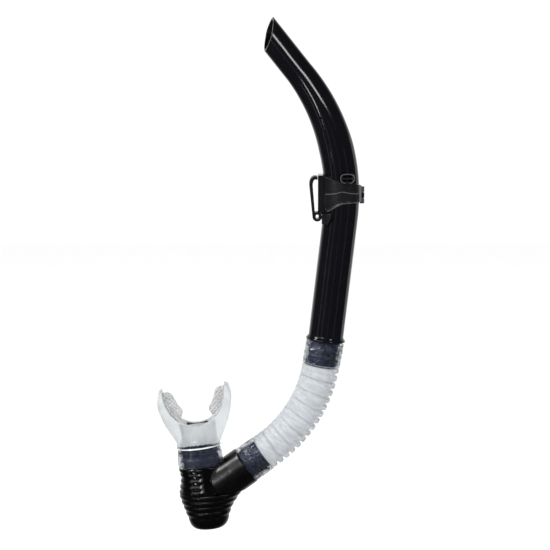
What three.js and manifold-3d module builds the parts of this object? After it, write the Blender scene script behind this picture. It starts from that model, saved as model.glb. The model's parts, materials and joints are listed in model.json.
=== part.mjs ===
// A snorkel: bent barrel, strap keeper, corrugated hose, air chamber with mouthpiece and purge valve.
//
// Millimetres, +Z up. The origin is the middle of the keeper's flat strap face, which looks
// along -X. The barrel stands to the right of it and every bend lies in the XZ plane.
// A "lean" is how far an axis tilts from vertical, in degrees, positive towards -X going up.
import * as THREE from "three";
import { mergeVertices } from "three/addons/utils/BufferGeometryUtils.js";
import Module from "manifold-3d";

const wasm = await Module();
wasm.setup();

// ---------------------------------------------------------------- driving dimensions
const GAP = 0.3; // air between pieces that touch on the real object
const ROUND = 24; // sides of a large round
const SMALL_ROUND = 12; // sides of a small round

const BARREL = {
  radius: 14, // outside, from the lip to the start of the taper
  tipRadius: 11.2,
  wall: 1.6,
  bendRadius: 157,
  centreX: 19.1, // centre line at the height of the keeper
  lowerLean: -6.7,
  upperLean: 38.5,
  taperFrom: 14, // lean at which the taper starts
  lowerLength: 99.4,
  upperLength: 52,
  lipRadius: 15.6,
  lipHeight: 3.2,
  cutDistance: 38.5, // along the upper straight to the middle of the slanted mouth
  cutLean: -15, // lean of the mouth's plane
  cutTurn: 12, // how far the mouth's plane is turned towards -Y
};

const KEEPER = {
  plateWidth: 16, // across the strap, along Y
  plateTop: 16.4,
  plateBottom: -13.6,
  clearance: 0.4, // between the collar and the barrel
  wall: 1.6,
  bandTop: 7.6, // the narrow band on the far side from the plate
  bandBottom: -5.8,
  knuckleRadius: 1.9,
  knuckleX: 35.2,
  pinRadius: 0.7,
  hookReach: 3.2, // how far the rear band's hook stands beyond the plate
  eyeX: -0.5,
  eyeZ: -17,
  eyeRadius: 3.8,
  eyeHole: 1.2,
  stubWidth: 10, // the web between the plate and the eye
  gateWidth: 10,
  gateThickness: 2.8,
  gateFoot: 2, // its thickness where it runs into the eye
  gateX: -6.9, // outer side of the gate's straight stretch
  crestX: -1.7,
  crestZ: 15.6,
};
/** The oval buckle on the keeper's -Y side, with two slots through it. */
const BUCKLE = {
  x: 23.2,
  z: 13.8,
  halfWidth: 5.7,
  halfHeight: 3.6,
  rise: 1.2, // how far it stands out from the collar
  slotHalfWidth: 3.9,
  slotHalfHeight: 0.75,
  slotOffset: 1.5,
};

const CUFF = { radius: 15.2, bore: 13.2, length: 25.9, lean: -10, topGap: 1.2 };
const CONNECTOR = {
  radius: 11.9,
  barb: 12.85,
  barbs: [0.5, 0.71, 0.92], // crests, as shares of the free length
  barbLength: 2.6,
  barbFlat: 0.9,
  bore: 10,
  plugRadius: 11.6,
  plugLength: 9, // of the barrel's connector
  neckPlugLength: 10,
  tipGap: 6.2, // between a connector's free end and the hose's end of its cuff
};
const HOSE = {
  radius: 15,
  webRadius: 12.9,
  bore: 10.9,
  bendRadius: 105.9,
  fromTilt: 12, // angle of the centre line from vertical where the hose starts
  toTilt: 54,
  rings: 7,
  gap: 2.7, // open stretch between two rings on the centre line
  grooveWidth: 1.9,
  shoulder: 5.4, // height of the shoulder between the hose and a cuff
};
const LOWER_CUFF = { radius: 15.3, bore: 13.2, length: 22, topGap: 0.8 };

const CHAMBER = {
  lean: 7.1,
  neckLength: 41.5, // from the neck's open end to the chamber's axis
  neckRadius: 15.9,
  neckRoot: 18, // radius where the neck meets the chamber
  neckTaper: 12, // length over which the neck keeps its radius
  inset: 3.3, // from the outside to the air space
  top: 23.6,
  skirtBottom: -1.6,
  skirtWall: 2,
  boreFloor: 3.4, // the neck's bore opens into the chamber above this height
};
const CAP = {
  lean: 4.1,
  top: 2,
  base: -27.7,
  ribPitch: 4.75,
  ribRise: 0.9,
  wall: 1.8,
  grooves: [[-20, 30], [-19, 26.3], [-17.7, 22.8], [-16.1, 19.9], [-14.8, 18.4]], // oval's ends
  depths: [20, 19, 17.6, 16.2, 15], // half depth of the oval at each groove
  grooveHalf: 0.7, // half the height of a groove
  drainHoles: 8,
  drainRadius: 1.7,
  drainRing: [6.2, 5.8], // half width and half depth of the ring of drain holes
  drainCentre: 1,
};
const SEAT = { centre: 2.5, top: -3.4, thickness: 1.6, holes: 6, holeRadius: 2.9, holeRing: 8.6 };
const VALVE = { radius: 12.8, thickness: 0.8, stemRadius: 1.2, bulbRadius: 1.9, bulbBottom: -1.7 };
const MOUTH = {
  halfWidth: 18.3,
  halfDepth: 14.4,
  wall: 1.9,
  cuffTop: 41,
  boreWidth: 14.4,
  boreDepth: 9.6,
  archWidth: 25, // half width of the arched opening between the wings
  archDepth: 27,
  archHeight: 88, // height of the arch's centre
  wingDepth: 25,
  tabDepth: 6,
  connectorReach: 20.4, // how far the connector stands into the cuff
  connectorWidth: 12.9, // half width of its bore
  connectorDepth: 9.2,
  bandBottom: 39.4,
  bandTop: 40.8,
  bandGrow: 1.2,
};

// ---------------------------------------------------------------- materials
const finish = (color, roughness, metalness = 0) =>
  new THREE.MeshStandardMaterial({ color, roughness, metalness });
const glossBlack = finish(0x08080a, 0.18);
const satinBlack = finish(0x101012, 0.4);
const navyPlastic = finish(0x10131f, 0.3);
const clearSilicone = finish(0xd9dfe2, 0.25);
const milkySilicone = finish(0xd3d8da, 0.4);
const valveSilicone = finish(0xc8ccce, 0.5);
const steel = finish(0xb8bbc0, 0.3, 1);

// ---------------------------------------------------------------- geometry helpers
const rad = THREE.MathUtils.degToRad;

/** The sign of the volume tells whether the faces of a closed mesh point out. */
function facesPointIn(positions, triangles) {
  let volume = 0;
  const [a, b, c] = [new THREE.Vector3(), new THREE.Vector3(), new THREE.Vector3()];
  for (let i = 0; i < triangles.length; i += 3) {
    a.fromArray(positions, 3 * triangles[i]);
    b.fromArray(positions, 3 * triangles[i + 1]);
    c.fromArray(positions, 3 * triangles[i + 2]);
    volume += a.dot(b.cross(c));
  }
  return volume < 0;
}

/** A closed three.js geometry as a solid that can be joined and cut. */
function solid(geometry) {
  const plain = geometry.clone();
  plain.deleteAttribute("normal");
  plain.deleteAttribute("uv");
  const merged = mergeVertices(plain, 1e-4);
  const positions = merged.attributes.position.array;
  const triangles = [];
  for (let i = 0; i < merged.index.count; i += 3) {
    const [a, b, c] = [0, 1, 2].map((k) => merged.index.getX(i + k));
    if (a !== b && b !== c && c !== a) triangles.push(a, b, c);
  }
  if (facesPointIn(positions, triangles)) triangles.reverse();
  return new wasm.Manifold(new wasm.Mesh({
    numProp: 3,
    vertProperties: new Float32Array(positions),
    triVerts: new Uint32Array(triangles),
  }));
}

/** A solid as a three.js mesh with a name and a material. */
function piece(name, body, material) {
  const { vertProperties, triVerts } = body.getMesh();
  const geometry = new THREE.BufferGeometry();
  geometry.setAttribute("position", new THREE.BufferAttribute(vertProperties, 3));
  geometry.setIndex(new THREE.BufferAttribute(triVerts, 1));
  geometry.computeVertexNormals();
  const mesh = new THREE.Mesh(geometry, material);
  mesh.name = name;
  return mesh;
}

/** A turned solid about the local Z axis, from a closed outline of [radius, height] points. */
function turned(outline, sides = ROUND) {
  const points = [...outline, outline[0]].map(([r, z]) => new THREE.Vector2(r, z));
  return solid(new THREE.LatheGeometry(points, sides).rotateX(Math.PI / 2));
}

/** A plain round bar about the local Z axis. */
const bar = (radius, bottom, top, sides = SMALL_ROUND) =>
  turned([[0, bottom], [radius, bottom], [radius, top], [0, top]], sides);

/** An outline in X and Z, extruded along Y from one depth to another. */
function slab(shape, fromY, toY, curveSegments = 8) {
  const options = { depth: toY - fromY, bevelEnabled: false, curveSegments };
  const geometry = new THREE.ExtrudeGeometry(shape, options);
  return solid(geometry.rotateX(Math.PI / 2).translate(0, toY, 0));
}

/** A shape through straight corners. */
const polygon = (corners) => new THREE.Shape(corners.map(([x, z]) => new THREE.Vector2(x, z)));

/** A box from its lowest to its highest corner. */
function block([x0, y0, z0], [x1, y1, z1]) {
  const geometry = new THREE.BoxGeometry(x1 - x0, y1 - y0, z1 - z0);
  return solid(geometry.translate((x0 + x1) / 2, (y0 + y1) / 2, (z0 + z1) / 2));
}

/** One oval loop across an axis that stands at (x, z) with the given lean. */
function loop({ x, z, lean }, halfWidth, halfDepth) {
  const points = [];
  for (let i = 0; i < ROUND; i += 1) {
    const angle = (2 * Math.PI * i) / ROUND;
    const across = halfWidth * Math.cos(angle);
    points.push([
      x + across * Math.cos(rad(lean)),
      halfDepth * Math.sin(angle),
      z + across * Math.sin(rad(lean)),
    ]);
  }
  return points;
}

/** A solid through a chain of loops, with a flat face over the first and the last. */
function loft(loops) {
  const sides = loops[0].length;
  const centre = (points) => [0, 1, 2].map((k) => points.reduce((sum, p) => sum + p[k], 0) / sides);
  const vertices = [...loops.flat(), centre(loops[0]), centre(loops.at(-1))];
  const first = loops.length * sides;
  const faces = [];
  for (let i = 0; i < sides; i += 1) {
    const next = (i + 1) % sides;
    for (let row = 0; row + 1 < loops.length; row += 1) {
      const [a, b] = [row * sides + i, row * sides + next];
      faces.push(a, b, b + sides, a, b + sides, a + sides);
    }
    const last = (loops.length - 1) * sides;
    faces.push(first, next, i, first + 1, last + i, last + next);
  }
  const geometry = new THREE.BufferGeometry();
  geometry.setAttribute("position", new THREE.Float32BufferAttribute(vertices.flat(), 3));
  geometry.setIndex(faces);
  return solid(geometry);
}

/** An upright oval post in a local frame: [height, halfWidth, halfDepth, centreX] for each loop. */
const ovalPost = (rows) => loft(rows.map(([z, halfWidth, halfDepth, x = 0]) =>
  loop({ x, z, lean: 0 }, halfWidth, halfDepth)));

/** A group whose +Z runs along an axis with the given lean, from the point (x, z). */
function frameAt({ x, z, lean }) {
  const group = new THREE.Group();
  group.position.set(x, 0, z);
  group.rotation.y = -rad(lean);
  return group;
}

/** The point at a distance along an axis from where it stands. */
const along = ({ x, z, lean }, distance) => ({
  x: x - distance * Math.sin(rad(lean)),
  z: z + distance * Math.cos(rad(lean)),
  lean,
});

// ---------------------------------------------------------------- barrel
const bendCentre = { x: BARREL.centreX - BARREL.bendRadius, z: 0 };

/** A point of the bend's centre line, where the barrel has the given lean. */
const onBend = (lean) => ({
  x: bendCentre.x + BARREL.bendRadius * Math.cos(rad(lean)),
  z: bendCentre.z + BARREL.bendRadius * Math.sin(rad(lean)),
  lean,
});

/** Outside radius of the barrel for a lean on the bend: constant, then an even taper. */
function barrelRadius(lean) {
  const share = (lean - BARREL.taperFrom) / (BARREL.upperLean - BARREL.taperFrom);
  const { radius, tipRadius } = BARREL;
  return THREE.MathUtils.lerp(radius, tipRadius, THREE.MathUtils.clamp(share, 0, 1));
}

const bendStart = onBend(BARREL.lowerLean);
const bendEnd = onBend(BARREL.upperLean);
const lip = along(bendStart, -BARREL.lowerLength);

/** The barrel's loops from the lip to the tip, at its outside or inside. */
function barrelLoops(inset, overshoot) {
  const at = (place, radius) => loop(place, radius - inset, radius - inset);
  const loops = [];
  if (inset === 0) {
    loops.push(at(lip, BARREL.lipRadius), at(along(lip, 1), BARREL.lipRadius));
    loops.push(at(along(lip, BARREL.lipHeight), BARREL.radius));
  } else {
    loops.push(at(along(lip, -overshoot), BARREL.radius));
  }
  const steps = 9;
  for (let i = 0; i <= steps; i += 1) {
    const lean = THREE.MathUtils.lerp(BARREL.lowerLean, BARREL.upperLean, i / steps);
    loops.push(at(onBend(lean), barrelRadius(lean)));
  }
  loops.push(at(along(bendEnd, BARREL.upperLength + overshoot), BARREL.tipRadius));
  return loops;
}

/** Everything beyond the slanted plane of the barrel's mouth. */
function beyondMouth() {
  const size = 80;
  const { cutDistance, cutTurn, cutLean } = BARREL;
  const middle = along(bendEnd, cutDistance);
  const geometry = new THREE.BoxGeometry(size, size, 2 * size).translate(-size / 2, 0, 0);
  geometry.rotateZ(rad(cutTurn)).rotateY(-rad(cutLean)).translate(middle.x, 0, middle.z);
  return solid(geometry);
}

function barrel() {
  const tube = loft(barrelLoops(0, 0)).subtract(loft(barrelLoops(BARREL.wall, 5)));
  return piece("barrel", tube.subtract(beyondMouth()), glossBlack);
}

// ---------------------------------------------------------------- keeper
/** A closed sleeve round the bend, from one lean to another, of the given radius. */
function bendSleeve(radius, fromLean = -8, toLean = 8) {
  const loops = [];
  const steps = 4;
  for (let i = 0; i <= steps; i += 1) {
    const lean = THREE.MathUtils.lerp(fromLean, toLean, i / steps);
    loops.push(loop(onBend(lean), radius, radius));
  }
  return loft(loops);
}

const collarInside = BARREL.radius + KEEPER.clearance;
const collarOutside = collarInside + KEEPER.wall;

/** Upright bar at the hinge, over a stretch of height. */
const knuckle = (radius, bottom, top) =>
  bar(radius, bottom, top, 16).translate([KEEPER.knuckleX, 0, 0]);

const knuckleCuts = [KEEPER.bandBottom - 0.9, -2.4, 2.4, KEEPER.bandTop - 0.7];

/** A flat-sided oval in X and Z: two half circles and the straight lines between them. */
function stadium(x, z, halfWidth, halfHeight) {
  const shape = new THREE.Shape();
  const straight = halfWidth - halfHeight;
  shape.absarc(x + straight, z, halfHeight, -Math.PI / 2, Math.PI / 2);
  shape.absarc(x - straight, z, halfHeight, Math.PI / 2, 1.5 * Math.PI);
  return shape;
}

function keeperClamp() {
  const { plateWidth, plateTop, plateBottom, bandTop, bandBottom, knuckleRadius, stubWidth } = KEEPER;
  const outline = polygon([
    [0, plateBottom], [7.8, plateBottom + 1.2], [15.2, -7.8], [19.5, bandBottom],
    [KEEPER.knuckleX, bandBottom + 0.8], [KEEPER.knuckleX, bandTop], [29.5, bandTop + 2.6],
    [17.6, 11.6], [6, plateTop - 1], [0, plateTop],
  ]);
  const wrap = bendSleeve(collarOutside).intersect(slab(outline, -collarOutside - 1, -GAP / 2));
  const half = plateWidth / 2;
  const plate = block([0, -half, plateBottom], [8, half, plateTop]);
  const stub = block([1.2, -stubWidth / 2, KEEPER.eyeZ - 1.5], [5.2, stubWidth / 2, plateBottom + 1]);
  const eyeRoom = bar(KEEPER.eyeRadius + GAP, -half, half, 24).rotate([90, 0, 0]);
  const { x, z, halfWidth, halfHeight, rise, slotHalfWidth, slotHalfHeight, slotOffset } = BUCKLE;
  const buckle = slab(stadium(x, z, halfWidth, halfHeight), -collarOutside - rise, -plateWidth / 2);
  const [low, midLow, midHigh, high] = knuckleCuts;
  const knuckles = knuckle(knuckleRadius, low, midLow - GAP / 2)
    .add(knuckle(knuckleRadius, midHigh + GAP / 2, high));
  const slots = [-slotOffset, slotOffset]
    .map((offset) => slab(stadium(x, z + offset, slotHalfWidth, slotHalfHeight), -30, 0));
  const body = wrap.add(plate).add(stub).add(knuckles).add(buckle)
    .subtract(slots[0])
    .subtract(slots[1])
    .subtract(bendSleeve(collarInside, -9, 9))
    .subtract(knuckle(knuckleRadius + GAP, midLow - GAP / 2, midHigh + GAP / 2))
    .subtract(knuckle(KEEPER.pinRadius + GAP, -20, 20))
    .subtract(eyeRoom.translate([KEEPER.eyeX, 0, KEEPER.eyeZ]));
  return piece("keeper_clamp", body, satinBlack);
}

function keeperRearBand() {
  const { plateWidth, bandTop, bandBottom, knuckleRadius, knuckleX, pinRadius, hookReach } = KEEPER;
  const half = plateWidth / 2;
  const outline = polygon([
    [0, bandBottom - 2], [knuckleX, bandBottom + 0.8], [knuckleX, bandTop], [0, bandTop + 2],
  ]);
  const wrap = bendSleeve(collarOutside).intersect(slab(outline, GAP / 2, collarOutside + 1));
  const [low, midLow, midHigh, high] = knuckleCuts;
  const hook = block([4, half + GAP, bandBottom], [10, half + hookReach, bandTop]);
  const body = wrap.add(hook)
    .subtract(bendSleeve(collarInside, -9, 9))
    .subtract(block([-1, -1, -30], [8 + GAP, half + GAP, 30]))
    .subtract(knuckle(knuckleRadius + GAP, low - 1, midLow + GAP / 2))
    .subtract(knuckle(knuckleRadius + GAP, midHigh - GAP / 2, high + 1))
    .add(knuckle(knuckleRadius, midLow + GAP / 2, midHigh - GAP / 2)
      .subtract(bendSleeve(collarInside, -9, 9)))
    .subtract(knuckle(pinRadius + GAP, -20, 20));
  return piece("keeper_rear_band", body, satinBlack);
}

const keeperHingePin = () =>
  piece("keeper_hinge_pin", knuckle(KEEPER.pinRadius, knuckleCuts[0], knuckleCuts[3]), steel);

/** The soft tongue that grips the barrel and shows below the collar, beside the plate. */
function keeperGripTongue() {
  const area = block([3, -14, -22.6], [10.4, -5.4, KEEPER.plateBottom - GAP]);
  const sleeve = bendSleeve(BARREL.radius + 2, -10, 0).subtract(bendSleeve(BARREL.radius + GAP, -12, 9));
  return piece("keeper_grip_tongue", sleeve.intersect(area), satinBlack);
}

function keeperGate() {
  const { eyeX, eyeZ, eyeRadius, eyeHole, crestX, crestZ } = KEEPER;
  const { gateWidth, gateThickness, gateFoot, gateX } = KEEPER;
  const inner = gateX + gateThickness;
  const tip = crestZ - 0.4; // top of the gate where it meets the plate
  const outer = new THREE.Shape();
  outer.moveTo(eyeX - eyeRadius, eyeZ);
  outer.lineTo(gateX, crestZ - 7.2);
  outer.quadraticCurveTo(gateX, crestZ - 0.2, crestX, crestZ);
  outer.lineTo(-GAP, tip);
  outer.lineTo(-GAP, tip - gateThickness);
  outer.lineTo(crestX, crestZ - gateThickness);
  outer.quadraticCurveTo(inner, crestZ - gateThickness, inner, crestZ - 8);
  outer.lineTo(eyeX - eyeRadius + gateFoot, eyeZ + 2.4);
  outer.closePath();
  const half = gateWidth / 2;
  const eye = bar(eyeRadius, -half, half, 24).rotate([90, 0, 0]).translate([eyeX, 0, eyeZ]);
  const hole = bar(eyeHole, -20, 20, 16).rotate([90, 0, 0]).translate([eyeX, 0, eyeZ]);
  const body = slab(outer, -half, half, 6).add(eye).subtract(hole);
  return piece("keeper_gate", body, satinBlack);
}

// ---------------------------------------------------------------- hose and its cuffs
const upperCuff = { ...lip, lean: CUFF.lean };
const hoseStart = along(upperCuff, -CUFF.length);

/** A place on the hose's centre line, by the tilt of the line from vertical. */
function onHose(tilt) {
  const { bendRadius, fromTilt } = HOSE;
  const centreX = hoseStart.x - bendRadius * Math.cos(rad(fromTilt));
  const centreZ = hoseStart.z + bendRadius * Math.sin(rad(fromTilt));
  return {
    x: centreX + bendRadius * Math.cos(rad(tilt)),
    z: centreZ - bendRadius * Math.sin(rad(tilt)),
    lean: -tilt,
  };
}

const hosePitch = (HOSE.bendRadius * rad(HOSE.toTilt - HOSE.fromTilt)) / HOSE.rings;
const hoseEnd = onHose(HOSE.toTilt);
const neckEnd = along(hoseEnd, -LOWER_CUFF.length);

/** Barbed tube from a plug to its free end: the free end points along +Z. */
function barbedConnector(length, plugLength) {
  const { radius, barb, barbs, barbLength, barbFlat, bore, plugRadius } = CONNECTOR;
  const outline = [[bore, -plugLength], [plugRadius, -plugLength], [plugRadius, -GAP]];
  outline.push([radius, -GAP + 0.1]);
  for (const share of barbs) {
    const crest = share * length;
    outline.push([radius, crest - barbLength], [barb, crest - barbFlat], [barb, crest], [radius, crest]);
  }
  outline.push([radius, length], [bore, length]);
  return turned(outline);
}

/** A cuff open towards +Z, closed down to the hose's bore at its other end. */
function hoseCuff({ radius, bore, length, topGap }) {
  const end = HOSE.gap / 2;
  const { shoulder } = HOSE;
  return turned([
    [HOSE.bore, end], [HOSE.radius, end], [HOSE.radius, shoulder - 1.4],
    [HOSE.webRadius + 1, shoulder - 1.2], [HOSE.webRadius + 1, shoulder - 0.4],
    [radius, shoulder - 0.2], [radius, length - topGap], [bore, length - topGap],
    [bore, shoulder + 0.4], [HOSE.bore, shoulder],
  ]);
}

/** One stretch of corrugated hose: two ribs with a groove between them. */
function hoseRing() {
  const half = (hosePitch - HOSE.gap) / 2;
  const groove = HOSE.grooveWidth / 2;
  return turned([
    [HOSE.bore, -half], [HOSE.radius, -half], [HOSE.radius, -groove], [HOSE.webRadius, -groove],
    [HOSE.webRadius, groove], [HOSE.radius, groove], [HOSE.radius, half], [HOSE.bore, half],
  ], 20);
}

function hoseAssembly() {
  const pieces = [];
  const top = frameAt(hoseStart);
  top.rotation.y = -rad(CUFF.lean);
  top.add(piece("hose_upper_cuff", hoseCuff(CUFF), clearSilicone));
  pieces.push(top);
  for (let i = 1; i <= HOSE.rings; i += 1) {
    const step = (HOSE.toTilt - HOSE.fromTilt) / HOSE.rings;
    const ring = frameAt(onHose(HOSE.fromTilt + (i - 0.5) * step));
    ring.add(piece(`hose_ring_${i}`, hoseRing(), milkySilicone));
    pieces.push(ring);
  }
  const bottom = frameAt(hoseEnd);
  bottom.rotation.y += Math.PI;
  bottom.add(piece("hose_lower_cuff", hoseCuff(LOWER_CUFF), clearSilicone));
  pieces.push(bottom);
  return pieces;
}

function connectors() {
  const upper = frameAt(upperCuff);
  upper.rotation.y += Math.PI;
  const { tipGap, plugLength, neckPlugLength } = CONNECTOR;
  const upperBody = barbedConnector(CUFF.length - tipGap, plugLength);
  upper.add(piece("barrel_connector", upperBody, navyPlastic));
  const lower = frameAt(neckEnd);
  const lowerBody = barbedConnector(LOWER_CUFF.length - tipGap, neckPlugLength);
  lower.add(piece("neck_connector", lowerBody, navyPlastic));
  return [upper, lower];
}

// ---------------------------------------------------------------- chamber and purge valve
const chamberPlace = { ...along(neckEnd, -CHAMBER.neckLength), lean: CHAMBER.lean };
const capPlace = { ...chamberPlace, lean: CAP.lean };
const neckAxis = { x: 0, z: 0, lean: hoseEnd.lean - CHAMBER.lean };

/** Outline of the chamber's main post: [height, halfWidth, halfDepth], oval above, round below. */
const chamberRows = [
  [-4, 20.4, 20.4], [5, 20.4, 20.4], [9, 19.4, 19], [15, 18, 17.2], [20, 17.9, 15.6],
  [CHAMBER.top, 18.6, 14.6],
];

/** A row of the cap's oval at a height, grown or shrunk by an inset: see ovalPost. */
function capRow(z, inset) {
  const place = THREE.MathUtils.clamp((CAP.top - z) / CAP.ribPitch, 0, CAP.grooves.length - 1);
  const upper = Math.min(Math.floor(place), CAP.grooves.length - 2);
  const between = (list, k) =>
    THREE.MathUtils.lerp(list(upper, k), list(upper + 1, k), place - upper);
  const [left, right] = [0, 1].map((k) => between((i, side) => CAP.grooves[i][side], k));
  const depth = between((i) => CAP.depths[i], 0);
  return [z, (right - left) / 2 - inset, depth - inset, (left + right) / 2];
}

/** A round post along the neck's axis: [distance, radius] for each loop. */
const neckPost = (rows) =>
  loft(rows.map(([distance, radius]) => loop(along(neckAxis, distance), radius, radius)));

function chamberBody() {
  const { inset, skirtBottom, skirtWall, top, boreFloor } = CHAMBER;
  const { neckLength, neckRadius, neckRoot, neckTaper } = CHAMBER;
  const capToChamber = CHAMBER.lean - CAP.lean;
  const below = block([-60, -40, -60], [80, 40, CAP.top]).rotate([0, capToChamber, 0]);
  const room = [MOUTH.halfWidth + GAP, MOUTH.halfDepth + GAP];
  const cuffRoom = ovalPost([[top, ...room], [top + 12, ...room]]);
  const neck = neckPost([
    [2, neckRoot], [14, neckRoot], [neckLength - neckTaper, neckRadius], [neckLength, neckRadius],
  ]);
  const skirtInset = CAP.wall + GAP + 0.1;
  const skirtRows = (extra, low, high) => [capRow(low, skirtInset + extra), capRow(high, skirtInset + extra)];
  const skirt = ovalPost(skirtRows(0, skirtBottom, CAP.top + 0.5)).rotate([0, capToChamber, 0]);
  const skirtBore = ovalPost(skirtRows(skirtWall, skirtBottom - 1, CAP.top + 0.5))
    .rotate([0, capToChamber, 0]);
  const air = ovalPost([
    ...chamberRows.slice(1).map(([z, w, d]) => [z, w - inset, d - inset]), [top + 1, 15, 11.2],
  ]);
  const plugBore = CONNECTOR.plugRadius + GAP;
  const belowBore = block([20, -40, -40], [60, 40, boreFloor]);
  const bore = neckPost([[4, 9], [neckLength - 14, plugBore], [neckLength + 2, plugBore]]);
  const body = ovalPost(chamberRows).add(neck).subtract(below).subtract(cuffRoom).add(skirt)
    .subtract(skirtBore)
    .subtract(air.add(ovalPost([[0, 16, 15.6], [5.1, 17.1, 17.1]])))
    .subtract(bore.subtract(belowBore));
  return piece("chamber_body", body, glossBlack);
}

/** Ribbed oval cup that closes the chamber below, with drain holes in its base. */
function purgeCap() {
  const { top, ribPitch, ribRise, base, wall, grooves, grooveHalf } = CAP;
  const outside = [
    [base, 9, 8.5, 1], [base + 1.4, 12.6, 11.8, 1.3], [base + 3.8, 14.9, 13.9, 1.5],
    [base + 7, 16.3, 15.1, 1.7],
  ];
  const inside = [[base + 2.2, 8, 7.5, 1], [base + 4.2, 12, 11.1, 1.4], [base + 7.4, 14.4, 13.2, 1.7]];
  for (let i = grooves.length - 1; i >= 0; i -= 1) {
    const z = top - i * ribPitch;
    outside.push(capRow(z - grooveHalf, -ribRise));
    if (i > 0) outside.push(capRow(z, 0), capRow(z + grooveHalf, -ribRise));
    inside.push(capRow(z, wall));
  }
  outside.push(capRow(top - GAP, 0));
  let body = ovalPost(outside).subtract(ovalPost(inside));
  const { drainHoles, drainRadius, drainRing, drainCentre } = CAP;
  for (let i = 0; i < drainHoles; i += 1) {
    const angle = (2 * Math.PI * i) / drainHoles;
    body = body.subtract(bar(drainRadius, base - 2, base + 4, 10)
      .translate([drainCentre + drainRing[0] * Math.cos(angle), drainRing[1] * Math.sin(angle), 0]));
  }
  return piece("purge_cap", body, satinBlack);
}

/** Oval plate with a hub and six holes that the valve lies against. */
function purgeSeat() {
  const { centre, top, thickness, holes, holeRadius, holeRing } = SEAT;
  const [, halfWidth, halfDepth, middle] = capRow(top - thickness, CAP.wall + GAP + 0.2);
  let body = ovalPost([
    [top - thickness, halfWidth, halfDepth, middle], [top, halfWidth, halfDepth, middle],
  ]).subtract(bar(VALVE.stemRadius + GAP, -10, 10).translate([centre, 0, 0]));
  for (let i = 0; i < holes; i += 1) {
    const angle = (2 * Math.PI * i) / holes;
    body = body.subtract(bar(holeRadius, -10, 10, 14)
      .translate([centre + holeRing * Math.cos(angle), holeRing * Math.sin(angle), 0]));
  }
  return piece("purge_seat", body, satinBlack);
}

/** Thin silicone disc under the seat, held by a stem with a bulb above it. */
function purgeValve() {
  const { radius, thickness, stemRadius, bulbRadius, bulbBottom } = VALVE;
  const top = SEAT.top - SEAT.thickness - GAP;
  const body = turned([
    [0, top - thickness - 0.6], [3, top - thickness - 0.4], [radius, top - thickness], [radius, top],
    [stemRadius, top], [stemRadius, bulbBottom], [bulbRadius, bulbBottom + 0.4],
    [bulbRadius * 0.6, bulbBottom + 2.4], [0, bulbBottom + 2.8],
  ], 24).translate([SEAT.centre, 0, 0]);
  return piece("purge_valve", body, valveSilicone);
}

/** Flat ring that seals the seat against the chamber's skirt. */
function purgeSeal() {
  const [bottom, top] = [SEAT.top + 0.2, CHAMBER.skirtBottom - 0.2];
  const [, halfWidth, halfDepth, middle] = capRow(bottom, CAP.wall + GAP + 0.2);
  const post = (inset) => ovalPost([bottom - inset, top + inset]
    .map((z) => [z, halfWidth - inset, halfDepth - inset, middle]));
  return piece("purge_seal", post(0).subtract(post(2)), valveSilicone);
}

// ---------------------------------------------------------------- mouthpiece
function mouthpieceConnector() {
  const { halfWidth, halfDepth, wall, connectorReach, connectorWidth, connectorDepth } = MOUTH;
  const { top } = CHAMBER;
  const width = halfWidth - wall - GAP;
  const depth = halfDepth - wall - GAP;
  const outside = ovalPost([
    [top - 6, 14.2, 10.6], [top + GAP, 14.2, 10.6], [top + GAP + 0.1, width - 0.9, depth - 0.9],
    [top + 10, width - 0.9, depth - 0.9], [top + 12, width, depth], [top + 12.6, width - 0.9, depth - 0.9],
    [top + 19, width - 0.9, depth - 0.9], [top + connectorReach, width - 1.5, depth - 1.5],
  ]);
  const bore = ovalPost([
    [top - 8, connectorWidth - 0.5, connectorDepth - 0.4], [top + 22, connectorWidth, connectorDepth],
  ]);
  const body = outside.subtract(bore);
  return piece("mouthpiece_connector", body, navyPlastic);
}

/** One wing of the lip flange in X and Z: its outer edge is a smooth curve. */
function wingShape(side) {
  const edge = [[17.8, 46], [19.6, 50], [22.4, 55.6], [25.2, 61], [27.6, 67.5], [29.6, 77], [29, 84]];
  const shape = new THREE.Shape();
  shape.moveTo(0, 46);
  shape.lineTo(side * edge[0][0], edge[0][1]);
  shape.splineThru(edge.slice(1).map(([x, z]) => new THREE.Vector2(side * x, z)));
  shape.lineTo(side * 26.6, 89);
  shape.lineTo(side * 24, 87.4);
  shape.lineTo(0, 87.4);
  shape.closePath();
  return shape;
}

/** One bite tab, which stands inward from the wing. */
const tabShape = (side) => polygon([
  [side * 25, 64], [side * 13.9, 63.4], [side * 10.6, 69.4], [side * 11, 71.6], [side * 13.6, 75],
  [side * 17.2, 83.8], [side * 19.4, 86], [side * 25.4, 86.6],
]);

function mouthpiece() {
  const { halfWidth, halfDepth, wall, cuffTop, boreWidth, boreDepth } = MOUTH;
  const { archWidth, archDepth, archHeight, wingDepth, tabDepth, connectorReach } = MOUTH;
  const bottom = CHAMBER.top + GAP;
  let body = ovalPost([
    [bottom, halfWidth, halfDepth], [cuffTop, halfWidth, halfDepth], [cuffTop + 2.4, 17.6, 13.8],
    [50, 19.2, 13.2], [55.6, 21.8, 12.8], [61, 24.6, 12.5], [68, 26.4, 12.5],
  ]);
  for (const side of [-1, 1]) {
    body = body.add(slab(wingShape(side), -wingDepth / 2, wingDepth / 2, 3));
  }
  const arch = new THREE.Shape().absellipse(0, archHeight, archWidth, archDepth, 0, 2 * Math.PI);
  const top = CHAMBER.top + connectorReach + GAP;
  const socket = ovalPost([
    [bottom - 1, halfWidth - wall, halfDepth - wall], [top, halfWidth - wall, halfDepth - wall],
    [top + 0.1, boreWidth, boreDepth], [75, boreWidth, boreDepth],
  ]);
  body = body.subtract(slab(arch, -20, 20, 20)).subtract(socket);
  for (const side of [-1, 1]) {
    body = body.add(slab(tabShape(side), -tabDepth / 2, tabDepth / 2));
  }
  return piece("mouthpiece", body, clearSilicone);
}

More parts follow.
